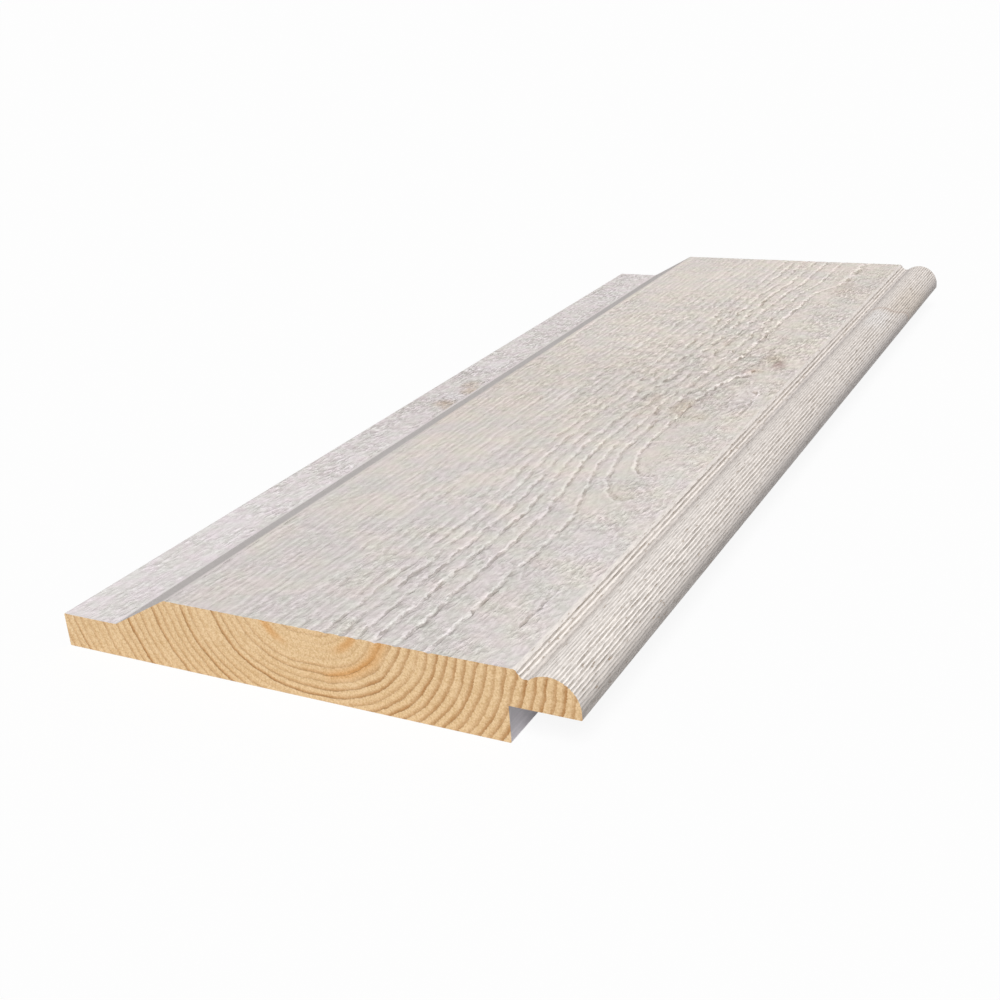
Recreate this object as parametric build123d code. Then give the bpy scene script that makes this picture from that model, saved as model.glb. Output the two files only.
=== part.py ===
"""Double rebated cladding board with a beaded lip: one piece of planed softwood, cut square and short.

Millimetres. X runs across the board towards the beaded lip, Y along it, and +Z is the weather face.
The origin is the middle of the bounding box's underside, so the board lies on its back at Z = 0.
"""

from build123d import *
from math import asin, cos, degrees
import os

# Overall sizes of the planed board
board_width = 148.0
board_thickness = 19.0
board_length = 375.0

# Tongue: the thin lower lap along the left edge, with a long slope up to the weather face
tongue_width = 17.8
tongue_thickness = 9.4
slope_run = 17.7
slope_foot_radius = 2.5
slope_crest_radius = 3.0

# Lip: the upper lap along the right edge, which covers the next board's tongue
lip_width = 17.6
lap_clearance = 0.1

# Half-round bead on the lip, and the groove that parts it from the face
bead_radius = 7.5
bead_drop = 0.3
groove_depth = 2.0
groove_flank_run = 1.6
groove_floor_width = 1.6
groove_edge_radius = 1.2
groove_floor_radius = 0.6

# The plane leaves the outer corners slightly eased
arris_radius = 0.3

# Levels and places that follow from the sizes above
left, right = -board_width / 2, board_width / 2
lip_underside = tongue_thickness + lap_clearance
rebate_wall = right - lip_width
slope_foot = left + tongue_width
slope_crest = slope_foot + slope_run
groove_floor = board_thickness - groove_depth

# The bead runs from the groove floor round to its middle height, or to the lip's underside where that is
# higher, and ends there on the board's right side
bead_height = board_thickness - bead_drop - bead_radius
bead_end_height = max(bead_height, lip_underside)
bead_start_angle = asin((groove_floor - bead_height) / bead_radius)
bead_end_angle = asin((bead_end_height - bead_height) / bead_radius)
bead_middle = right - bead_radius * cos(bead_end_angle)
bead_start = bead_middle - bead_radius * cos(bead_start_angle)
groove_foot = bead_start - groove_floor_width
groove_edge = groove_foot - groove_flank_run

# The flat below the bead limits the lip's lower arris
lip_flat = bead_end_height - lip_underside
lip_arris_radius = min(arris_radius, lip_flat / 2) if lip_flat > 0 else arris_radius


def lap_section():
    """The end section: tongue, slope, weather face, groove and bead, less the rebate under the lip."""
    with BuildSketch() as section:
        with BuildLine():
            Polyline(
                (left, 0),
                (left, tongue_thickness),
                (slope_foot, tongue_thickness),
                (slope_crest, board_thickness),
                (groove_edge, board_thickness),
                (groove_foot, groove_floor),
                (bead_start, groove_floor),
            )
            arc_start = 180 - degrees(bead_start_angle)
            arc_sweep = degrees(bead_end_angle) - arc_start
            CenterArc((bead_middle, bead_height), bead_radius, arc_start, arc_sweep)
            Polyline((right, bead_end_height), (right, 0), (left, 0))
        make_face()
        with Locations((rebate_wall, 0)):
            Rectangle(lip_width, lip_underside, align=(Align.MIN, Align.MIN), mode=Mode.SUBTRACT)
        ease_corners(section)
    return section.sketch


def ease_corners(section):
    """Rounds the section's corners, each found as the vertex nearest to where its two lines meet."""
    corner_radii = {
        (slope_foot, tongue_thickness): slope_foot_radius,
        (slope_crest, board_thickness): slope_crest_radius,
        (groove_edge, board_thickness): groove_edge_radius,
        (groove_foot, groove_floor): groove_floor_radius,
        (left, 0): arris_radius,
        (left, tongue_thickness): arris_radius,
        (right, lip_underside): lip_arris_radius,
        (rebate_wall, 0): arris_radius,
    }
    for corner, radius in corner_radii.items():
        fillet(section.vertices().sort_by_distance(corner)[0], radius)


def cladding_board():
    """The section run along the board's length, with both ends sawn square."""
    section = Plane.XZ * lap_section()
    return extrude(section, amount=board_length / 2, both=True)


os.makedirs("parts", exist_ok=True)
export_step(cladding_board(), "parts/cladding_board.step")
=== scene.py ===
from math import asin, atan2, ceil, cos, hypot, pi, radians, tan

import bmesh
import bpy
from mathutils import Matrix, Vector, noise


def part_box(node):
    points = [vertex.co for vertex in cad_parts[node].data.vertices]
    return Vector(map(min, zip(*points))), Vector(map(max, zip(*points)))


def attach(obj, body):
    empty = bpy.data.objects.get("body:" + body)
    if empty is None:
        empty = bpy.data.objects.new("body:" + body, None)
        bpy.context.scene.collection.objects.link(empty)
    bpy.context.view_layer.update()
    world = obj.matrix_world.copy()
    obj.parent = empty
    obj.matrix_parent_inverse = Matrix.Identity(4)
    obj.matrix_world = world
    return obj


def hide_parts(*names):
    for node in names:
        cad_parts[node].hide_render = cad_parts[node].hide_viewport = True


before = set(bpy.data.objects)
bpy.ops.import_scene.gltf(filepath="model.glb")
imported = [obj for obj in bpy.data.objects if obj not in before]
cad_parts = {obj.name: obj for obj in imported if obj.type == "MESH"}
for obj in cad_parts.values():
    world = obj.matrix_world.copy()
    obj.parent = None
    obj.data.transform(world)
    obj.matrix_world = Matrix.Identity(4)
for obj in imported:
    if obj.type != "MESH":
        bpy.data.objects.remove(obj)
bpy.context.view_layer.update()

# The cladding board, run as one length of softwood through a moulder that cuts both laps, the groove and
# the bead, and sawn square at both ends. The weather side is then brushed with steel wire, which hollows
# the soft wood between the growth rings, and everything but the sawn ends is primed off-white.
mm = 0.001
touching = 0.01 * mm
board_low, board_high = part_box("cladding_board")
left, right = board_low.x, board_high.x
near_end, far_end = board_low.y, board_high.y
face = board_high.z

tongue_width = 17.8 * mm
tongue_thickness = 9.4 * mm
slope_run = 17.7 * mm
slope_foot_radius = 2.5 * mm
slope_crest_radius = 3.0 * mm
lip_width = 17.6 * mm
lap_clearance = 0.1 * mm
bead_radius = 7.5 * mm
bead_drop = 0.3 * mm
groove_depth = 2.0 * mm
groove_flank_run = 1.6 * mm
groove_floor_width = 1.6 * mm
groove_edge_radius = 1.2 * mm
groove_floor_radius = 0.6 * mm
arris_radius = 0.3 * mm

lip_underside = tongue_thickness + lap_clearance
rebate_wall = right - lip_width
slope_foot = left + tongue_width
slope_crest = slope_foot + slope_run
groove_floor = face - groove_depth
bead_height = face - bead_drop - bead_radius
bead_middle = right - bead_radius
bead_start_angle = asin((groove_floor - bead_height) / bead_radius)
bead_start = bead_middle - bead_radius * cos(bead_start_angle)
groove_foot = bead_start - groove_floor_width
groove_edge = groove_foot - groove_flank_run

# The section starts as its corners joined by straight edges, each corner with the radius of its rounding.
# One more point on the face is where the columns of faces become narrow, for the deeper grain.
narrow_columns_from = left + 80.0 * mm
corners = [
    (bead_start, groove_floor, 0),
    (groove_foot, groove_floor, groove_floor_radius),
    (groove_edge, face, groove_edge_radius),
    (narrow_columns_from, face, 0),
    (slope_crest, face, slope_crest_radius),
    (slope_foot, tongue_thickness, slope_foot_radius),
    (left, tongue_thickness, arris_radius),
    (left, 0, arris_radius),
    (rebate_wall, 0, arris_radius),
    (rebate_wall, lip_underside, 0),
    (right, lip_underside, arris_radius),
    (right, bead_height, 0),
]
board_mesh = bmesh.new()
points = [board_mesh.verts.new((x, near_end, z)) for x, z, radius in corners]
for start, end in zip(points, points[1:]):
    board_mesh.edges.new((start, end))

# The bead is swung from the board's right side round to the groove, where its last point meets the first.
bead_columns = 84
bead_sweep = pi - bead_start_angle
same_point = 0.001 * mm
bmesh.ops.spin(
    board_mesh,
    geom=[points[-1]],
    cent=(bead_middle, near_end, bead_height),
    axis=(0, -1, 0),
    angle=bead_sweep,
    steps=bead_columns,
)
bmesh.ops.remove_doubles(board_mesh, verts=board_mesh.verts[:], dist=same_point)

corner_columns = 4
for x, z, radius in corners:
    if radius == 0:
        continue
    corner = min(board_mesh.verts, key=lambda vert: hypot(vert.co.x - x, vert.co.z - z))
    runs = [(edge.other_vert(corner).co - corner.co).normalized() for edge in corner.link_edges]
    inside_angle = runs[0].angle(runs[1])
    bmesh.ops.bevel(
        board_mesh,
        geom=[corner],
        offset=radius / tan(inside_angle / 2),
        affect="VERTICES",
        segments=corner_columns,
        profile=0.5,
        material=-1,
    )


def column_width(place):
    """The widest column of faces that shows the relief at this place on the section."""
    deep_grain_column = 0.34 * mm
    face_column = 0.5 * mm
    tongue_column = 0.7 * mm
    slope_column = 2.5 * mm
    plain_column = 13.0 * mm
    if place.z > groove_floor - touching and place.x > narrow_columns_from:
        return deep_grain_column
    if place.z > face - touching:
        return face_column
    if place.z > tongue_thickness - touching and place.x < slope_foot:
        return tongue_column
    if place.z > tongue_thickness and place.x < slope_crest:
        return slope_column
    return plain_column


for run in board_mesh.edges[:]:
    run_middle = (run.verts[0].co + run.verts[1].co) / 2
    columns = ceil(run.calc_length() / column_width(run_middle))
    if columns > 1:
        bmesh.ops.subdivide_edges(board_mesh, edges=[run], cuts=columns - 1)

# The section is drawn out to the far end and cut into rows.
rows = 240
drawn = bmesh.ops.extrude_edge_only(board_mesh, edges=board_mesh.edges[:])
drawn_points = [item for item in drawn["geom"] if isinstance(item, bmesh.types.BMVert)]
bmesh.ops.translate(board_mesh, verts=drawn_points, vec=(0, far_end - near_end, 0))
long_edges = [edge for edge in board_mesh.edges if abs(edge.verts[0].co.y - edge.verts[1].co.y) > touching]
bmesh.ops.subdivide_edges(board_mesh, edges=long_edges, cuts=rows - 1, use_grid_fill=True)
bmesh.ops.recalc_face_normals(board_mesh, faces=board_mesh.faces[:])
board_mesh.normal_update()


def held(low, high, value):
    """The value, kept between low and high."""
    return min(max(value, low), high)


def smooth(start, end, value):
    """Rises gently from 0 at start to 1 at end."""
    share = held(0.0, 1.0, (value - start) / (end - start))
    return share * share * (3 - 2 * share)


def between(start, full, fading, end, value):
    """Rises gently from 0 at start to 1 at full, and falls again from fading to 0 at end."""
    return smooth(start, full, value) * (1 - smooth(fading, end, value))


def wander(across, along, across_length, along_length, layer):
    """A smooth random value from about -1 to 1 that changes over these lengths."""
    return noise.noise(Vector((across / across_length, along / along_length, layer)))


# The grain on the face, in millimetres from the tongue's edge and from the near end. The rings are drawn
# about a heart 25 to 30 mm off the face, over the line heart_line. It comes nearest in mid-board, and
# so the rings draw an arch there.
heart_line = 118.0
fibre_depth = 0.05


def ring_number(across, along):
    """Growth rings counted outwards from the arch; at each whole number the brush leaves a crevice."""
    heart_distance = 30 - 4.8 * smooth(72, 136, along) + 2.0 * smooth(174, 226, along)
    heart_distance += 0.2 * smooth(275, 300, along) + 1.4 * smooth(312, 338, along)
    reach = hypot(across - heart_line, heart_distance)
    first_ring = 26.7
    middle_from = 31
    outer_from = 46
    outermost_from = 64
    inner_width = 2.05
    middle_width = 3.0
    outer_width = 2.85
    outermost_width = 2.0
    unevenness = 0.9 * smooth(outer_from, outer_from + 6, reach)
    reach += unevenness * wander(reach, 0, 2.6, 1, 31)
    inner_rings = (min(reach, middle_from) - first_ring) / inner_width
    middle_rings = held(0, outer_from - middle_from, reach - middle_from) / middle_width
    outer_rings = held(0, outermost_from - outer_from, reach - outer_from) / outer_width
    outermost_rings = max(reach - outermost_from, 0) / outermost_width
    return inner_rings + middle_rings + outer_rings + outermost_rings


def ring_spacing(across, along):
    """The distance between neighbouring rings at this place, in millimetres."""
    step = 0.2
    least_rise = 0.001
    widest = 12.0
    rise_across = ring_number(across + step, along) - ring_number(across - step, along)
    rise_along = ring_number(across, along + step) - ring_number(across, along - step)
    rise = max(hypot(rise_across, rise_along), least_rise)
    return min(2 * step / rise, widest)


def grain_strength(across, along):
    """How clearly the rings show: faint by the slope, full on the arch, in short bits beyond the heart."""
    if across <= heart_line:
        return 0.34 + 0.14 * smooth(50, 70, across) + 0.52 * smooth(74, 88, across)
    near_bit = between(14, 20, 30, 36, along)
    far_bit = between(168, 175, 190, 198, along)
    grain = 0.15 + 0.2 * between(140, 170, 188, 196, along) + 0.65 * (near_bit + far_bit)
    hook_strength = 0.75
    hook_end = heart_line + 5 - 2.5 * smooth(120, 150, along)
    grain += (hook_strength - grain) * (1 - smooth(hook_end - 4, hook_end, across))
    return grain * (1 - smooth(127, 130, across))


def brush_vigour(along):
    """How hard the brush has bitten: most in mid-board and beyond it, least at the far end."""
    vigour = 0.88 - 0.12 * smooth(40, 80, along) + 0.28 * smooth(130, 170, along)
    return vigour - 0.3 * smooth(285, 330, along)


def face_grit(across, along):
    """How rough the face is between its crevices."""
    off_slope = smooth(55, 85, across)
    by_groove = smooth(112, 120, across)
    vigour = brush_vigour(along)
    grit = 0.78 + 0.37 * off_slope + 0.2 * smooth(150, 240, along) * (1 - off_slope)
    grit *= vigour + (1 - vigour) * by_groove
    return grit + 0.17 * by_groove * smooth(50, 80, along)


def face_brushing(across, along):
    """What the brush leaves on the face: depth in millimetres, ring number, spacing, crevices and grit."""
    curl = between(130, 165, 280, 340, along) * between(72, 88, 104, 111, across)
    bend = 0.5 * wander(across, along, 25, 7.5, 1) + 0.35 * wander(across, along, 9, 3.2, 2)
    bend += 1.2 * curl * wander(across, along, 30, 4.5, 3)
    ring = ring_number(across + bend, along)
    spacing = ring_spacing(across, along)
    whole_ring = round(ring)
    hollow_reach = 1.6 - 0.45 * smooth(40, 90, along)
    hollow = max(0.0, 1 - abs(ring - whole_ring) * spacing / hollow_reach) ** 2

    # Each ring shows as dashes of its own, which run together on the arch and break up where it curls.
    dash_length = 16
    ring_shift = 7.1
    arch = smooth(84, 92, across)
    dash = 0.9 * (1 - 0.4 * arch) * wander(whole_ring * ring_shift, along, 1, dash_length, 5)
    dash = held(0.15, 1.0, 0.7 + 0.15 * arch + dash)
    dash *= 1 - 0.8 * curl * smooth(-0.1, 0.3, wander(across, along, 2.5, 5, 9))
    strength = grain_strength(across, along) * dash
    if across < heart_line:
        strength *= brush_vigour(along)
    crevice_depth = 0.4
    fibre = fibre_depth * (1 + wander(across, along, 1.1, 3.4, 7))
    depth = crevice_depth * strength * hollow + fibre
    return depth, ring, spacing, strength, face_grit(across, along)


# Where no rings show, the ring number stays halfway between two and its crevices have no strength.
no_rings = (0.5, 2.0, 0.0)


def tongue_brushing(across, along):
    """The finer brushing on the tongue, with no clear rings."""
    fibre = fibre_depth * (1 + wander(across, along, 1.3, 3.6, 11)) * smooth(0.5, 3, across)
    grit = 0.85 + 0.55 * smooth(40, 80, along) + 0.15 * smooth(140, 165, along)
    grit -= 0.2 * smooth(210, 260, along)
    return fibre, *no_rings, grit


rib_shift = 5.3
rib_fibre = 0.02


def rib_hollow(rib):
    """How far the brush has gone in between two ribs: 1 at a whole number, 0 halfway to the next."""
    sharpness = 1.6
    return (1 - 2 * abs(rib - round(rib))) ** sharpness


def bead_brushing(turn, along):
    """Straight ribs along the bead, turn being the arc length from the groove."""
    rib_pitch = 0.945
    first_hollow = 0.72
    hollow_depth = 0.25
    grit = 0.5
    rib = (turn - first_hollow + 0.12 * wander(0, along, 1, 60, 21)) / rib_pitch
    strength = 0.42 * smooth(2.0, 3.0, turn) + 0.53 * smooth(3.6, 9, turn)
    strength *= 1 - 0.4 * smooth(11.5, 14.5, turn)
    strength *= 1 - 0.5 * smooth(14.5, 16, turn)
    strength *= held(0.6, 1.1, 0.95 + 0.4 * wander(round(rib) * rib_shift, along, 1, 24, 22))
    depth = rib_fibre + hollow_depth * strength * rib_hollow(rib)
    return depth, rib, rib_pitch, strength, grit


def groove_brushing(turn, along):
    """Fine ridges down the groove's flank and floor, turn being the arc length from its edge."""
    rib_pitch = 1.07
    first_hollow = 1.0
    hollow_depth = 0.2
    grit = 0.4
    rib = (turn - first_hollow) / rib_pitch
    strength = 1.2 * smooth(0.3, 0.8, turn) * (1 - 0.65 * smooth(2.6, 3.6, turn))
    strength *= held(0.5, 1.0, 0.9 + 0.5 * wander(round(rib) * rib_shift, along, 1, 30, 23))
    depth = rib_fibre + hollow_depth * strength * rib_hollow(rib)
    return depth, rib, rib_pitch, strength, grit


# Knots and resin that show through the paint, and spots where it covers better. Each oval is given as its
# middle across and along the board, its half width, its half length and its strength.
knots = [
    (123.4, 222.5, 3.0, 7.0, 1.0),
    (124.8, 220, 3.5, 6.0, 0.7),
    (114.8, 211.5, 2.0, 4.0, 0.6),
    (117, 213, 5.0, 2.0, 0.5),
    (111.5, 181.5, 2.5, 6.0, 0.35),
]
stains = [
    (107, 171, 5, 12, 0.7),
    (12, 200, 5, 7, 0.8),
    (15, 194, 5, 8, 1.0),
    (13, 178, 6, 6, 1.0),
    (16, 174.5, 3, 4, 0.8),
    (116, 98, 7, 12, 0.25),
    (118, 213, 4, 5, 0.7),
    (120, 228, 6, 8, 0.7),
    (95, 178, 4, 8, 0.4),
    (98, 243, 4, 8, 0.4),
    (119, 330, 9, 14, 0.35),
    (116, 163, 5, 6, 0.4),
]
pale_spots = [
    (13, 187, 6, 5, 1.0),
    (8, 60, 7, 12, 0.7),
    (10, 120, 6, 9, 0.7),
    (12, 224, 8, 18, 0.7),
    (124, 190, 8, 18, 1.0),
    (122, 60, 8, 12, 0.7),
    (64, 172, 8, 20, 0.7),
    (10, 164, 9, 9, 0.7),
]


def patches(spots, across, along):
    """How strongly oval spots show at a place: full strength in the middle of a spot, 0 at its edge."""
    inside = 0.0
    for middle_across, middle_along, half_width, half_length, strength in spots:
        away = hypot((across - middle_across) / half_width, (along - middle_along) / half_length)
        inside = max(inside, strength * (1 - smooth(0.2, 1.0, away)))
    return inside


def flat_marks(across, along):
    """The knots, stains and pale spots at a place on the face or the tongue."""
    return [patches(spots, across, along) for spots in (knots, stains, pale_spots)]


def bead_knot(turn, along):
    """The knot across the bead: its brown rim, the beige wood beyond and the paler wood before it."""
    rim_line = 304.3 + 14 * smooth(9, 16, turn)
    rim_half_width = 1.8
    beyond = along - rim_line
    rim = max(0.0, 1 - abs(beyond) / rim_half_width) * smooth(0, 1.5, turn)
    beige = 0.7 * between(-8, 6, 20, 50, beyond) * smooth(4, 10, turn)
    pale = between(268, 290, 296, 304, along) * between(2, 4, 8, 13, turn)
    return [rim, beige, pale]


# Each point is pressed in as far as the brush went, and keeps what the materials need to know about it.
groove_from = groove_edge - 0.6 * mm
tongue_to = slope_foot - 1.0 * mm
flank_stretch = hypot(1, groove_depth / groove_flank_run)
layer_names = ("ring", "spacing", "crevice", "grit", "knot", "stain", "pale")
layers = [board_mesh.verts.layers.float.new(name) for name in layer_names]
for vert in board_mesh.verts:
    x, y, z = vert.co
    across = (x - left) / mm
    along = (y - near_end) / mm
    brushing = (0.0, *no_rings, 0.0)
    marks = [0.0, 0.0, 0.0]
    if x > bead_start and z > bead_height:
        turn_angle = bead_sweep - atan2(z - bead_height, x - bead_middle)
        turn = turn_angle * bead_radius / mm
        brushing = bead_brushing(turn, along)
        marks = bead_knot(turn, along)
    elif z > groove_floor - touching and x > groove_from:
        down_flank = (min(x, groove_foot) - groove_edge) * flank_stretch
        turn = (down_flank + max(x - groove_foot, 0)) / mm
        brushing = groove_brushing(turn, along)
    elif z > face - touching and x > slope_crest:
        brushing = face_brushing(across, along)
        marks = flat_marks(across, along)
    elif z > tongue_thickness - touching and x < tongue_to:
        brushing = tongue_brushing(across, along)
        marks = flat_marks(across, along)
    depth, *values = brushing
    for layer, value in zip(layers, values + marks):
        vert[layer] = value
    vert.co -= vert.normal * depth * mm

# The four finishes, numbered in the order of the board's materials
brushed, ribbed, planed, sawn = range(4)


def finish_at(place):
    """The finish at this place on a long side: ribbed lip, brushed face and tongue, planed elsewhere."""
    on_groove_or_bead = place.x > groove_edge - 0.5 * mm and place.z > bead_height
    on_outer_side = place.x > right - 0.1 * mm
    on_face = place.x > slope_crest - 0.6 * mm and place.z > face - 0.5 * mm
    on_tongue = place.x < slope_foot + 0.3 * mm and place.z > tongue_thickness - 0.4 * mm
    if on_groove_or_bead or on_outer_side:
        return ribbed
    if on_face or on_tongue:
        return brushed
    return planed


for side in board_mesh.faces:
    side.smooth = True
    side.material_index = finish_at(side.calc_center_median())

# The sawn ends close the board, with crisp edges.
end_edges = [edge for edge in board_mesh.edges if edge.is_boundary]
for edge in end_edges:
    edge.smooth = False
ends = bmesh.ops.holes_fill(board_mesh, edges=end_edges, sides=0)["faces"]
for end in ends:
    end.smooth = False
    end.material_index = sawn
bmesh.ops.triangulate(board_mesh, faces=ends)
bmesh.ops.recalc_face_normals(board_mesh, faces=board_mesh.faces[:])

brushed_board_data = bpy.data.meshes.new("brushed_board")
board_mesh.to_mesh(brushed_board_data)
board_mesh.free()
brushed_board = bpy.data.objects.new("brushed_board", brushed_board_data)
bpy.context.scene.collection.objects.link(brushed_board)


def paint(red, green, blue):
    """A colour as it looks on screen, from 0 to 255, as the linear colour that a shader takes."""
    shares = [channel / 255 for channel in (red, green, blue)]
    return (*[s / 12.92 if s <= 0.04045 else ((s + 0.055) / 1.055) ** 2.4 for s in shares], 1.0)


def place_node(tree, kind, inputs=None, **settings):
    """Adds a node with these settings, and links or sets each of the named inputs."""
    node = tree.nodes.new(kind)
    for name, value in settings.items():
        setattr(node, name, value)
    for socket, value in (inputs or {}).items():
        if isinstance(value, bpy.types.NodeSocket):
            tree.links.new(value, node.inputs[socket])
        else:
            node.inputs[socket].default_value = value
    return node


def place_math(tree, operation, first, second=0.0, third=0.0):
    """Adds a maths node and gives its result."""
    inputs = {0: first, 1: second, 2: third}
    return place_node(tree, "ShaderNodeMath", inputs, operation=operation).outputs[0]


def place_away(tree, value, middle):
    """Adds the distance of a value from the middle and gives it."""
    return place_math(tree, "ABSOLUTE", place_math(tree, "SUBTRACT", value, middle))


def place_mix(tree, factor, first, second, blend="MIX"):
    """Adds a colour mix and gives its result."""
    inputs = {"Factor": factor, 6: first, 7: second}
    return place_node(tree, "ShaderNodeMix", inputs, data_type="RGBA", blend_type=blend).outputs[2]


def place_shade(tree, colour, shade):
    """Adds the product of a colour and a shade and gives it."""
    return place_mix(tree, 1.0, colour, shade, "MULTIPLY")


def place_blend(tree, factor, first, second):
    """Adds a mix of two values and gives its result."""
    inputs = {"Factor": factor, 2: first, 3: second}
    return place_node(tree, "ShaderNodeMix", inputs, data_type="FLOAT").outputs[0]


def place_range(tree, value, low, high, to_low, to_high):
    """Adds a smooth map from one range of values to another and gives its result."""
    inputs = {"Value": value, 1: low, 2: high, 3: to_low, 4: to_high}
    return place_node(tree, "ShaderNodeMapRange", inputs, interpolation_type="SMOOTHSTEP").outputs[0]


def place_axes(tree):
    """Gives the Object coordinates, one output for each axis."""
    place = place_node(tree, "ShaderNodeTexCoord").outputs["Object"]
    return place_node(tree, "ShaderNodeSeparateXYZ", {0: place}).outputs


def place_along(tree, axes, start, end, to_start, to_end):
    """Adds a value that changes between two places along the board, in millimetres from its near end."""
    return place_range(tree, axes["Y"], near_end + start * mm, near_end + end * mm, to_start, to_end)


def place_noise(tree, place, scale, detail, roughness):
    """Adds a noise texture and gives its value."""
    inputs = {"Vector": place, "Scale": scale, "Detail": detail, "Roughness": roughness}
    return place_node(tree, "ShaderNodeTexNoise", inputs).outputs["Fac"]


def read_layer(tree, name):
    """Gives the value that the relief left at each point of the board."""
    return place_node(tree, "ShaderNodeAttribute", attribute_name=name).outputs["Fac"]


def new_group(name, input_names, output_names):
    """An empty node group with these numbers going in and out, and the outputs of its input node."""
    group = bpy.data.node_groups.new(name, "ShaderNodeTree")
    for input_name in input_names:
        group.interface.new_socket(input_name, in_out="INPUT", socket_type="NodeSocketFloat")
    for output_name in output_names:
        group.interface.new_socket(output_name, in_out="OUTPUT", socket_type="NodeSocketFloat")
    return group, place_node(group, "NodeGroupInput").outputs


fibre_sizes = ("Streak Width", "Streak Length", "Speckle Size", "Blotch Size")


def wood_fibre_group():
    """Streaks along the fibre, fine speckle and broad blotches, for every surface of the board."""
    group, given = new_group("wood_fibre", fibre_sizes, ("Streak", "Speckle", "Blotch"))
    place = place_node(group, "ShaderNodeTexCoord").outputs["Object"]
    narrow, long, fine, broad = [place_math(group, "DIVIDE", 1.0, given[size]) for size in fibre_sizes]
    stretch = place_node(group, "ShaderNodeCombineXYZ", {0: narrow, 1: long, 2: narrow}).outputs[0]
    drawn_out = place_node(group, "ShaderNodeVectorMath", {0: place, 1: stretch}, operation="MULTIPLY")
    results = {
        "Streak": place_noise(group, drawn_out.outputs[0], 1.0, 3.0, 0.6),
        "Speckle": place_noise(group, place, fine, 2.0, 0.6),
        "Blotch": place_noise(group, place, broad, 2.0, 0.5),
    }
    place_node(group, "NodeGroupOutput", results)
    return group


wood_fibre = wood_fibre_group()


def place_fibre(tree, *sizes):
    """Places the wood fibre group with these sizes in millimetres and gives its outputs."""
    inputs = {name: size * mm for name, size in zip(fibre_sizes, sizes)}
    return place_node(tree, "ShaderNodeGroup", inputs, node_tree=wood_fibre).outputs


def brush_marks_group():
    """Crevices that the brush leaves along the rings: a dark core that is partly painted shade, a painted
    highlight on one side and a painted highlight on the ridge.
    """
    given_names = ("Waver", "Core Width", "Minor", "Break")
    group, given = new_group("brush_marks", given_names, ("Core", "Painted Highlight", "Painted Ridge Highlight"))
    ring = read_layer(group, "ring")
    spacing = read_layer(group, "spacing")
    crevice = read_layer(group, "crevice")
    strength = place_math(group, "MULTIPLY", crevice, given["Break"])

    # The core, by the distance in millimetres from the middle of the crevice; its darkness is partly painted
    # shade
    share = place_math(group, "WRAP", ring, 0.5, -0.5)
    aside = place_math(group, "MULTIPLY_ADD", share, spacing, given["Waver"])
    away = place_math(group, "ABSOLUTE", aside)
    core = place_range(group, away, 0.1, given["Core Width"], 1.0, 0.0)
    core = place_math(group, "MULTIPLY", core, strength)

    # The rim on one side of the core, a painted highlight, which wavers less
    steady_aside = place_math(group, "MULTIPLY_ADD", given["Waver"], -0.25, aside)
    painted_highlight_start = place_range(group, steady_aside, 0.3, 0.8, 0.0, 1.0)
    painted_highlight_end = place_range(group, steady_aside, 0.9, 1.7, 1.0, 0.0)
    rim = place_math(group, "MULTIPLY", painted_highlight_start, painted_highlight_end)
    rim = place_math(group, "MULTIPLY", rim, crevice)

    # A thinner crevice halfway between two rings
    half_ring = place_math(group, "MULTIPLY", ring, 2.0)
    half_share = place_math(group, "WRAP", half_ring, 1.0, 0.0)
    half_aside = place_math(group, "SUBTRACT", half_share, 0.5)
    half_aside = place_math(group, "MULTIPLY", half_aside, spacing)
    half_aside = place_math(group, "MULTIPLY_ADD", half_aside, 0.5, given["Waver"])
    minor = place_range(group, place_math(group, "ABSOLUTE", half_aside), 0.08, 0.5, 1.0, 0.0)
    minor = place_math(group, "MULTIPLY", minor, given["Minor"])
    minor = place_math(group, "MULTIPLY", minor, strength)
    core = place_math(group, "MAXIMUM", core, minor)

    # The ridge between the crevices, a painted highlight
    painted_ridge_highlight = place_range(group, place_math(group, "ABSOLUTE", share), 0.2, 0.45, 0.0, 1.0)
    painted_ridge_highlight = place_math(group, "MULTIPLY", painted_ridge_highlight, strength)
    place_node(group, "NodeGroupOutput", {"Core": core, "Painted Highlight": rim, "Painted Ridge Highlight": painted_ridge_highlight})
    return group


brush_marks = brush_marks_group()


def place_marks(tree, waver, core_width, minor, breaks):
    """Places the brush marks group and gives its outputs."""
    inputs = {"Waver": waver, "Core Width": core_width, "Minor": minor, "Break": breaks}
    return place_node(tree, "ShaderNodeGroup", inputs, node_tree=brush_marks).outputs


def new_material(name):
    """A node material with no nodes yet, and its node tree."""
    material = bpy.data.materials.new(name)
    material.use_nodes = True
    material.node_tree.nodes.clear()
    return material, material.node_tree


def finish_material(tree, colour, roughness, height, bump_depth):
    """The board's matt surface, with fine unevenness as bump."""
    bump_inputs = {"Strength": 1.0, "Distance": bump_depth, "Height": height}
    bump = place_node(tree, "ShaderNodeBump", bump_inputs).outputs[0]
    surface_inputs = {"Base Color": colour, "Roughness": roughness, "Normal": bump}
    surface = place_node(tree, "ShaderNodeBsdfPrincipled", surface_inputs).outputs[0]
    place_node(tree, "ShaderNodeOutputMaterial", {"Surface": surface})


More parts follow.
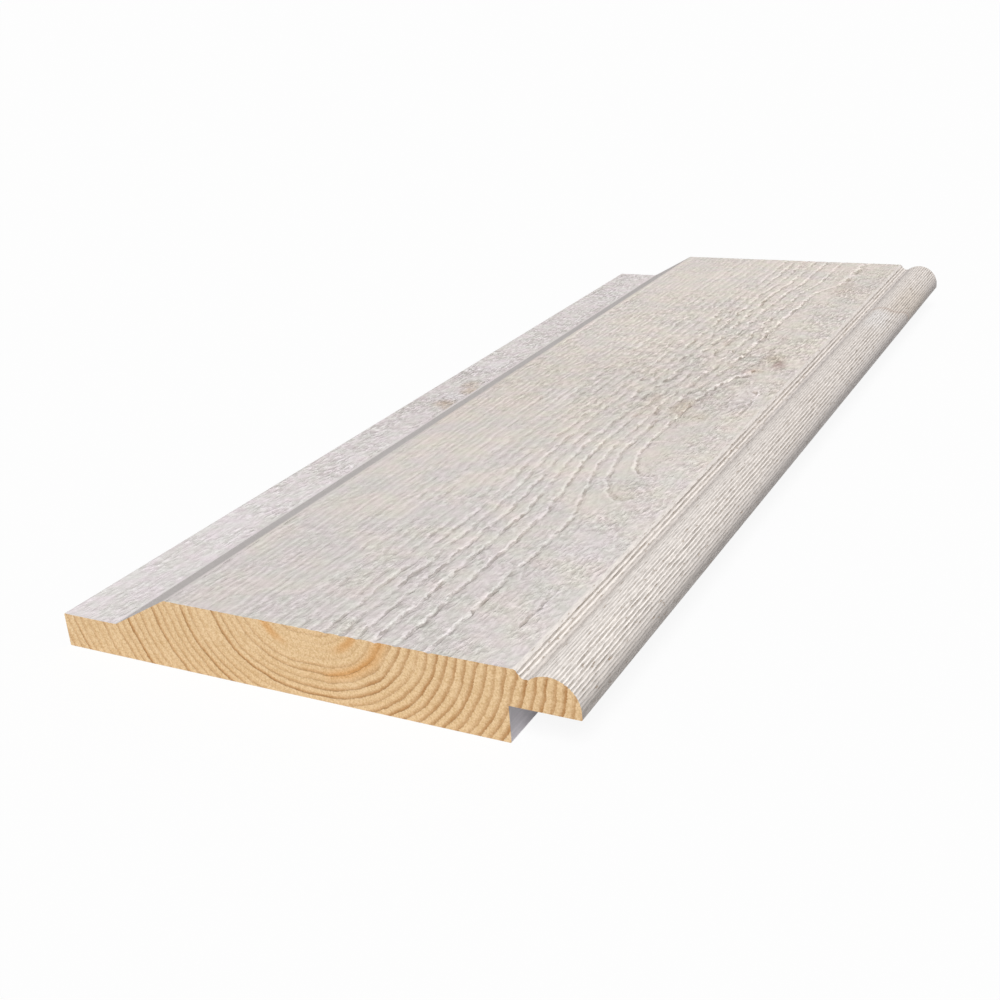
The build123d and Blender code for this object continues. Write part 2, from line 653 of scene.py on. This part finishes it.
def brushed_primer():
    """Primer on brushed wood: cool white at the near end, warmer along the board, darker in the crevices
    partly as painted shade, with painted highlights on their rims.
    """
    cool_white = paint(217, 212, 209)
    warm_white = paint(226, 218, 209)
    cool_tongue = paint(226, 221, 221)
    warm_tongue = paint(223, 217, 215)
    thick_white = paint(236, 229, 234)
    resin_stain = paint(201, 181, 158)
    knot_brown = paint(168, 142, 136)
    cool_crevice = paint(172, 163, 157)
    warm_crevice = paint(166, 150, 134)
    stained_crevice = paint(146, 116, 84)
    pink_tint = (1.03, 0.985, 1.01, 1)
    green_tint = (0.98, 1.0, 0.965, 1)

    material, tree = new_material("brushed_primer")
    ragged = place_fibre(tree, 0.9, 2.4, 0.7, 14)
    near_grain = place_fibre(tree, 1.05, 3.0, 0.9, 5)
    far_grain = place_fibre(tree, 1.05, 3.3, 1.2, 11)
    torn = place_fibre(tree, 1.6, 5, 1.0, 6)
    lines = place_fibre(tree, 0.9, 45, 1.0, 10)
    grit = read_layer(tree, "grit")
    stain = read_layer(tree, "stain")
    pale = read_layer(tree, "pale")
    axes = place_axes(tree)
    on_tongue = place_range(tree, axes["X"], slope_foot, slope_foot + 2 * mm, 1.0, 0.0)
    off_tongue = place_math(tree, "SUBTRACT", 1.0, on_tongue)
    far_share = place_along(tree, axes, 70, 190, 0.0, 1.0)

    # The paint's own colour, warmer along the board and in blotches, and a little paler by the groove
    warm_by_length = place_along(tree, axes, 0, 187.5, 0.0, 0.8)
    warm_by_blotch = place_range(tree, ragged["Blotch"], 0.3, 0.7, -0.4, 0.4)
    warmth = place_math(tree, "ADD", warm_by_length, warm_by_blotch)
    colour = place_mix(tree, warmth, cool_white, warm_white)
    tongue_colour = place_mix(tree, warmth, cool_tongue, warm_tongue)
    colour = place_mix(tree, on_tongue, colour, tongue_colour)
    by_groove = place_range(tree, axes["X"], groove_edge - 18 * mm, groove_edge - 4 * mm, 0.0, 0.05)
    groove_fading = place_along(tree, axes, 260, 320, 1.0, -0.2)
    by_groove = place_math(tree, "MULTIPLY_ADD", by_groove, groove_fading, 1.0)
    colour = place_shade(tree, colour, by_groove)
    tint = place_range(tree, near_grain["Blotch"], 0.3, 0.7, 0.0, 1.0)
    colour = place_shade(tree, colour, place_mix(tree, tint, pink_tint, green_tint))

    # Resin that shows through, spots where the paint is thicker, and a dimmer stretch in mid-board
    stained = place_range(tree, ragged["Streak"], 0.3, 0.6, 0.8, 0.45)
    stained = place_math(tree, "MULTIPLY", stain, stained)
    colour = place_mix(tree, stained, colour, resin_stain)
    whitened = place_math(tree, "MULTIPLY", pale, 0.28)
    colour = place_mix(tree, whitened, colour, thick_white)
    dim_start = place_along(tree, axes, 100, 165, 0.0, -0.035)
    dim_end = place_along(tree, axes, 200, 240, 1.0, 0.0)
    dim = place_math(tree, "MULTIPLY_ADD", dim_start, dim_end, 1.0)
    by_slope = place_range(tree, axes["X"], left + 60 * mm, left + 95 * mm, -0.03, 0.0)
    slope_fading = place_along(tree, axes, 190, 240, 1.0, 0.0)
    by_slope = place_math(tree, "MULTIPLY", by_slope, slope_fading)
    by_slope = place_math(tree, "MULTIPLY", by_slope, off_tongue)
    dim = place_math(tree, "ADD", dim, by_slope)
    colour = place_shade(tree, colour, dim)
    knotted = place_range(tree, ragged["Streak"], 0.35, 0.6, 1.0, 0.5)
    knotted = place_math(tree, "MULTIPLY", read_layer(tree, "knot"), knotted)
    colour = place_mix(tree, knotted, colour, knot_brown)

    # The crevices, with thinner ones between the rings in torn places and on the arch; their cores are
    # browner paint and partly painted shade
    core_width = 0.8
    arch_middle = near_end + 205 * mm
    fine_waver = place_range(tree, ragged["Streak"], 0.25, 0.75, -0.5, 0.5)
    long_waver = place_range(tree, torn["Blotch"], 0.3, 0.7, -0.45, 0.45)
    waver = place_math(tree, "ADD", fine_waver, long_waver)
    waver = place_math(tree, "MULTIPLY", waver, grit)
    from_middle = place_away(tree, axes["Y"], arch_middle)
    mid_board = place_range(tree, from_middle, 40 * mm, 75 * mm, 0.65, 0.0)
    on_arch = place_range(tree, axes["X"], left + 80 * mm, left + 90 * mm, 0.0, 1.0)
    mid_board = place_math(tree, "MULTIPLY", mid_board, on_arch)
    minor = place_range(tree, torn["Streak"], 0.46, 0.62, 0.0, 0.8)
    minor = place_math(tree, "MAXIMUM", minor, mid_board)
    breaks = place_range(tree, torn["Streak"], 0.64, 0.36, 0.25, 1.4)
    marks = place_marks(tree, waver, core_width, minor, breaks)
    core_colour = place_mix(tree, warmth, cool_crevice, warm_crevice)
    core_colour = place_mix(tree, stain, core_colour, stained_crevice)
    core_share = place_math(tree, "MULTIPLY_ADD", far_share, -0.08, 0.66)
    dark_paint_and_shade = place_math(tree, "MULTIPLY", marks["Core"], core_share)
    colour = place_mix(tree, dark_paint_and_shade, colour, core_colour)

    # The roughness that the brush leaves between the crevices, coarser along the board and in patches
    coarseness = place_math(tree, "MULTIPLY", far_share, off_tongue)
    streak = place_blend(tree, coarseness, near_grain["Streak"], far_grain["Streak"])
    streak = place_range(tree, streak, 0.28, 0.72, 1.0, -1.0)
    growing = place_math(tree, "MULTIPLY_ADD", far_share, 0.25, 1.0)
    rough = place_math(tree, "MULTIPLY", grit, growing)
    patchy = place_range(tree, far_grain["Blotch"], 0.35, 0.65, 0.6, 1.3)
    patchy = place_math(tree, "SUBTRACT", patchy, place_math(tree, "MULTIPLY", pale, 0.4))
    rough = place_math(tree, "MULTIPLY", rough, patchy)
    streak = place_math(tree, "MULTIPLY", streak, rough)

    # Painted highlights on the rims, roughness and long lines as one shade, which turns the paint browner
    # where it is darker
    line = place_range(tree, lines["Streak"], 0.3, 0.7, -1.0, 1.0)
    painted_highlight_share = place_math(tree, "MULTIPLY_ADD", far_share, 0.11, 0.27)
    shade = place_math(tree, "MULTIPLY_ADD", marks["Painted Highlight"], painted_highlight_share, 1.0)
    shade = place_math(tree, "MULTIPLY_ADD", streak, 0.14, shade)
    shade = place_math(tree, "MULTIPLY_ADD", line, 0.05, shade)
    red_shade = place_math(tree, "MULTIPLY_ADD", shade, 0.95, 0.05)
    blue_shade = place_math(tree, "MULTIPLY_ADD", shade, 1.06, -0.06)
    shade_colour = place_node(tree, "ShaderNodeCombineColor", {0: red_shade, 1: shade, 2: blue_shade})
    colour = place_shade(tree, colour, shade_colour.outputs[0])

    roughness = place_range(tree, near_grain["Speckle"], 0.2, 0.8, 0.62, 0.78)
    height = place_math(tree, "MULTIPLY", marks["Core"], -0.2)
    height = place_math(tree, "MULTIPLY_ADD", streak, 0.11, height)
    finish_material(tree, colour, roughness, height, mm)
    return material


def ribbed_primer():
    """Primer on the bead and the groove's ridges: nearly white on the ribs with a painted highlight, grey
    and brown between them partly as painted shade.
    """
    near_white = paint(238, 231, 225)
    far_white = paint(224, 216, 210)
    near_shade_grey = paint(214, 206, 200)
    far_shade_grey = paint(203, 196, 193)
    pale_white = paint(232, 229, 228)
    beige_wood = paint(208, 190, 166)
    knot_brown = paint(180, 152, 138)
    grey_hollow = paint(164, 158, 155)
    brown_hollow = paint(169, 156, 142)
    brown_speck = paint(158, 138, 118)

    material, tree = new_material("ribbed_primer")
    fibre = place_fibre(tree, 0.6, 3.0, 1.0, 12)
    torn = place_fibre(tree, 0.9, 6.0, 1.0, 30)
    axes = place_axes(tree)

    # The paint's own colour with the knot across it, and painted shade that greys and darkens it by and in
    # the groove and low down on the bead
    warmth = place_along(tree, axes, 0, 187.5, 0.0, 0.7)
    colour = place_mix(tree, warmth, near_white, far_white)
    shade_grey = place_mix(tree, warmth, near_shade_grey, far_shade_grey)
    from_start = place_away(tree, axes["X"], bead_start + 0.3 * mm)
    by_groove = place_range(tree, from_start, 0.4 * mm, 2.2 * mm, 0.85, 0.0)
    low_down = place_range(tree, axes["Z"], bead_height, bead_height + 6 * mm, 1.0, 0.0)
    painted_shade_share = place_math(tree, "MAXIMUM", by_groove, low_down)
    colour = place_mix(tree, painted_shade_share, colour, shade_grey)
    # Painted shade: a little darker in the groove and lower down the bead's side
    groove_painted_shade = place_range(tree, axes["X"], groove_foot, bead_start, 0.95, 1.0)
    colour = place_shade(tree, colour, groove_painted_shade)
    low_shade = place_range(tree, axes["Z"], bead_height + 0.8 * mm, bead_height + 2.4 * mm, 0.82, 1.0)
    colour = place_shade(tree, colour, low_shade)
    for layer_name, share, mark_colour in (
        ("pale", 0.6, pale_white),
        ("stain", 0.4, beige_wood),
        ("knot", 0.5, knot_brown),
    ):
        marked = place_math(tree, "MULTIPLY", read_layer(tree, layer_name), share)
        colour = place_mix(tree, marked, colour, mark_colour)

    # The hollows between the ribs, darker partly as grey and brown paint and partly as painted shade, the
    # ribs paler with a painted highlight, and brown specks where the paint has gaps
    core_width = 0.36
    no_minor = 0.0
    waver = place_range(tree, fibre["Streak"], 0.25, 0.75, -0.12, 0.12)
    breaks = place_range(tree, torn["Streak"], 0.66, 0.36, 0.65, 1.2)
    marks = place_marks(tree, waver, core_width, no_minor, breaks)
    dark_paint_and_shade = place_math(tree, "MULTIPLY", marks["Core"], 0.7)
    core_colour = place_mix(tree, torn["Blotch"], grey_hollow, brown_hollow)
    colour = place_mix(tree, dark_paint_and_shade, colour, core_colour)
    streak = place_range(tree, fibre["Streak"], 0.28, 0.72, 1.0, -1.0)
    shade = place_math(tree, "MULTIPLY_ADD", marks["Painted Ridge Highlight"], 0.18, 1.0)
    shade = place_math(tree, "MULTIPLY_ADD", streak, 0.12, shade)
    colour = place_shade(tree, colour, shade)
    speck = place_range(tree, fibre["Streak"], 0.62, 0.7, 0.0, 0.75)
    colour = place_mix(tree, speck, colour, brown_speck)

    roughness = place_range(tree, fibre["Speckle"], 0.2, 0.8, 0.6, 0.75)
    height = place_math(tree, "MULTIPLY", marks["Core"], -0.1)
    height = place_math(tree, "MULTIPLY_ADD", streak, 0.04, height)
    finish_material(tree, colour, roughness, height, mm)
    return material


def planed_primer():
    """The same primer on the planed slope, back and rebate, smooth and a little greyer, with painted light
    on the rebate wall under the lip.
    """
    pale_grey = paint(205, 200, 199)
    dark_grey = paint(195, 188, 184)
    rebate_painted_light = paint(226, 221, 226)
    bump_depth = 0.03 * mm

    material, tree = new_material("planed_primer")
    fibre = place_fibre(tree, 0.8, 30, 0.9, 25)
    axes = place_axes(tree)
    colour = place_mix(tree, fibre["Blotch"], pale_grey, dark_grey)
    # Painted light: the rebate wall, in the lip's shade, is painted whiter
    in_rebate = place_range(tree, axes["X"], rebate_wall - 0.4 * mm, rebate_wall - 0.1 * mm, 0.0, 1.0)
    colour = place_mix(tree, in_rebate, colour, rebate_painted_light)
    streak_shade = place_range(tree, fibre["Streak"], 0.25, 0.75, 0.92, 1.08)
    colour = place_shade(tree, colour, streak_shade)
    roughness = place_range(tree, fibre["Speckle"], 0.2, 0.8, 0.55, 0.65)
    height = place_math(tree, "MULTIPLY_ADD", fibre["Speckle"], 0.3, fibre["Streak"])
    finish_material(tree, colour, roughness, height, bump_depth)
    return material


def sawn_end_grain():
    """Bare sawn softwood: rings about a heart above the face, pale early wood and orange late wood."""
    pale_early = paint(238, 206, 162)
    deep_early = paint(229, 195, 147)
    late_orange = paint(186, 138, 87)
    resin_orange = paint(219, 160, 92)
    lip_orange = paint(206, 155, 96)
    dark_speckle = (0.85, 0.79, 0.69, 1)
    pale_speckle = (1.13, 1.17, 1.25, 1)
    heart_left = left + 76.0 * mm
    heart_right = left + 80.4 * mm
    heart_height = 23.5 * mm
    flattening = 0.835
    first_ring = 20.65 * mm
    ring_width = 2.42 * mm
    inner_resin = 13.0 * mm
    outer_resin = 20.2 * mm
    waver_size = 6 * mm
    roughness = 0.8
    bump_depth = 0.1 * mm

    # The reach of each place from the heart, which is drawn out flat between its left and right sides
    material, tree = new_material("sawn_end_grain")
    fibre = place_fibre(tree, 0.5, 0.5, 0.45, 9)
    place = place_node(tree, "ShaderNodeTexCoord").outputs["Object"]
    axes = place_axes(tree)
    left_of_heart = place_math(tree, "SUBTRACT", axes["X"], heart_left)
    left_of_heart = place_math(tree, "MINIMUM", left_of_heart, 0.0)
    right_of_heart = place_math(tree, "SUBTRACT", axes["X"], heart_right)
    right_of_heart = place_math(tree, "MAXIMUM", right_of_heart, 0.0)
    across = place_math(tree, "ADD", left_of_heart, right_of_heart)
    below_heart = place_math(tree, "SUBTRACT", axes["Z"], heart_height)
    upright = place_math(tree, "DIVIDE", below_heart, flattening)
    flat_place = place_node(tree, "ShaderNodeCombineXYZ", {0: across, 1: upright}).outputs[0]
    reach = place_node(tree, "ShaderNodeVectorMath", {0: flat_place}, operation="LENGTH").outputs[1]
    waver = place_noise(tree, place, 1 / waver_size, 3.0, 0.5)
    reach = place_math(tree, "MULTIPLY_ADD", waver, 1.6 * mm, reach)
    reach = place_math(tree, "MULTIPLY_ADD", fibre["Streak"], 0.9 * mm, reach)

    # Each ring darkens outwards and ends sharply.
    ring = place_math(tree, "SUBTRACT", reach, first_ring)
    ring = place_math(tree, "DIVIDE", ring, ring_width)
    share = place_math(tree, "FRACT", ring)
    darkening = place_range(tree, share, 0.35, 0.88, 0.0, 1.0)
    ending = place_range(tree, share, 0.9, 1.0, 1.0, 0.0)
    late_wood = place_math(tree, "MULTIPLY", darkening, ending)

    # Left of the heart one ring in four is strong, but for one of them, and right of it most rings are.
    which_ring = place_math(tree, "CEIL", ring)
    random_ring = place_node(tree, "ShaderNodeTexWhiteNoise", {"W": which_ring}, noise_dimensions="1D")
    ring_strength = random_ring.outputs["Value"]
    of_four = place_math(tree, "FLOORED_MODULO", which_ring, 4.0)
    strong_one = place_math(tree, "COMPARE", of_four, 3.0, 0.1)
    weak_one = place_math(tree, "COMPARE", which_ring, 19.0, 0.1)
    strong_one = place_math(tree, "SUBTRACT", strong_one, weak_one)
    left_strength = place_math(tree, "MULTIPLY_ADD", strong_one, 0.44, 0.29)
    left_strength = place_math(tree, "MULTIPLY_ADD", ring_strength, 0.35, left_strength)
    right_strength = place_math(tree, "MULTIPLY_ADD", ring_strength, 0.55, 0.5)
    on_right = place_range(tree, across, -2 * mm, 6 * mm, 0.0, 1.0)
    strength = place_math(tree, "SUBTRACT", right_strength, left_strength)
    strength = place_math(tree, "MULTIPLY_ADD", strength, on_right, left_strength)

    # They fade in blotches and by the heart, and are stronger on the lip.
    fading = place_range(tree, fibre["Blotch"], 0.3, 0.6, 0.6, 1.0)
    strength = place_math(tree, "MULTIPLY", strength, fading)
    by_heart = place_range(tree, reach, 16 * mm, 20 * mm, 0.45, 1.0)
    strength = place_math(tree, "MULTIPLY", strength, by_heart)
    on_lip = place_range(tree, axes["X"], rebate_wall - 2 * mm, rebate_wall + 5 * mm, 0.0, 1.0)
    strength = place_math(tree, "MULTIPLY_ADD", on_lip, 0.24, strength)
    late_wood = place_math(tree, "MULTIPLY", late_wood, strength)
    early_colour = place_mix(tree, fibre["Blotch"], pale_early, deep_early)
    colour = place_mix(tree, late_wood, early_colour, late_orange)

    # Two bands of resin about the heart, the browner lip and the speckle of cut fibres
    from_inner = place_away(tree, reach, inner_resin)
    inner_band = place_range(tree, from_inner, 0.3 * mm, 2.0 * mm, 1.0, 0.0)
    aside = place_range(tree, place_math(tree, "ABSOLUTE", across), 2.5 * mm, 9 * mm, 0.0, 1.0)
    inner_band = place_math(tree, "MULTIPLY", inner_band, aside)
    from_outer = place_away(tree, reach, outer_resin)
    outer_band = place_range(tree, from_outer, 0.4 * mm, 2.8 * mm, 0.9, 0.0)
    outer_band = place_math(tree, "MULTIPLY", outer_band, on_right)
    resin = place_math(tree, "MAXIMUM", inner_band, outer_band)
    resin = place_math(tree, "MULTIPLY", resin, 0.65)
    colour = place_mix(tree, resin, colour, resin_orange)
    lip_share = place_math(tree, "MULTIPLY", on_lip, 0.06)
    colour = place_mix(tree, lip_share, colour, lip_orange)
    speckle = place_range(tree, fibre["Speckle"], 0.25, 0.75, 0.0, 1.0)
    colour = place_shade(tree, colour, place_mix(tree, speckle, dark_speckle, pale_speckle))
    height = place_math(tree, "MULTIPLY_ADD", fibre["Speckle"], 0.6, late_wood)
    finish_material(tree, colour, roughness, height, bump_depth)
    return material


for material in (brushed_primer(), ribbed_primer(), planed_primer(), sawn_end_grain()):
    brushed_board_data.materials.append(material)
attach(brushed_board, "root")
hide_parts("cladding_board")

# The studio floor: a wide pale sheet just under the board. It shows nearly white to the camera and keeps
# the board's soft shadow.
floor_mesh = bmesh.new()
floor_size = 40.0
floor_drop = 0.05 * mm
floor_place = Matrix.Translation((0, 0, -floor_drop))
bmesh.ops.create_grid(floor_mesh, x_segments=1, y_segments=1, size=floor_size / 2, matrix=floor_place)
floor_data = bpy.data.meshes.new("studio_floor")
floor_mesh.to_mesh(floor_data)
floor_mesh.free()
studio_floor = bpy.data.objects.new("studio_floor", floor_data)
bpy.context.scene.collection.objects.link(studio_floor)

white = (1, 1, 1, 1)
pale_grey = (0.85, 0.85, 0.85, 1)
bounce_grey = (0.4, 0.4, 0.4, 1)
shown_white = 0.9
floor_material, floor_tree = new_material("pale_floor")
floor_ray = place_node(floor_tree, "ShaderNodeLightPath").outputs
seen = place_math(floor_tree, "MAXIMUM", floor_ray["Is Camera Ray"], floor_ray["Is Glossy Ray"])
seen = place_math(floor_tree, "MAXIMUM", seen, floor_ray["Is Transmission Ray"])
floor_colour = place_mix(floor_tree, seen, bounce_grey, pale_grey)
floor_paint = place_node(floor_tree, "ShaderNodeBsdfDiffuse", {"Color": floor_colour}).outputs[0]
floor_white = place_node(floor_tree, "ShaderNodeEmission", {"Color": white}).outputs[0]
white_share = place_math(floor_tree, "MULTIPLY", seen, shown_white)
floor_shaders = {0: white_share, 1: floor_paint, 2: floor_white}
floor_surface = place_node(floor_tree, "ShaderNodeMixShader", floor_shaders).outputs[0]
place_node(floor_tree, "ShaderNodeOutputMaterial", {"Surface": floor_surface})
floor_data.materials.append(floor_material)

# The studio light: one broad overhead lamp, off towards the near end and the bead's side, and an even fill
# from all round. The sky itself shows white behind the floor.
key_data = bpy.data.lights.new("overhead_key", "SUN")
key_data.energy = 3.1
key_data.angle = radians(35)
overhead_key = bpy.data.objects.new("overhead_key", key_data)
key_direction = Vector((-0.37, 0.75, -0.92))
overhead_key.rotation_euler = key_direction.to_track_quat("-Z", "Y").to_euler()
bpy.context.scene.collection.objects.link(overhead_key)

fill_strength = 0.27
world = bpy.data.worlds.new("white_studio")
world.use_nodes = True
world_tree = world.node_tree
world_tree.nodes.clear()
world_ray = place_node(world_tree, "ShaderNodeLightPath").outputs
shown = place_math(world_tree, "MAXIMUM", world_ray["Is Camera Ray"], world_ray["Is Transmission Ray"])
strength = place_math(world_tree, "MULTIPLY_ADD", shown, 1 - fill_strength, fill_strength)
backdrop = place_node(world_tree, "ShaderNodeBackground", {"Color": white, "Strength": strength}).outputs[0]
place_node(world_tree, "ShaderNodeOutputWorld", {"Surface": backdrop})
bpy.context.scene.world = world

# The camera stands off the near right corner, above the board. Its shift of half a pixel in a frame of
# 1000 is there because the photo was measured from the middle of its first pixel.
half_pixel = 0.5 / 1000
camera_data = bpy.data.cameras.new("camera")
camera_data.sensor_width = 36.0
camera_data.lens = 48.661
camera_data.clip_start = 0.01
camera_data.shift_x = -half_pixel
camera_data.shift_y = half_pixel
camera = bpy.data.objects.new("camera", camera_data)
camera_right = Vector((0.88522, 0.45948, -0.07250))
camera_up = Vector((-0.11732, 0.37135, 0.92105))
camera_back = camera_right.cross(camera_up)
camera_place = Matrix.Translation((0.18163, -0.40840, 0.16289))
camera_turn = Matrix((camera_right, camera_up, camera_back)).transposed().to_4x4()
camera.matrix_world = camera_place @ camera_turn
bpy.context.scene.collection.objects.link(camera)
bpy.context.scene.camera = camera
bpy.context.scene.view_settings.view_transform = "Standard"

bpy.context.view_layer.update()
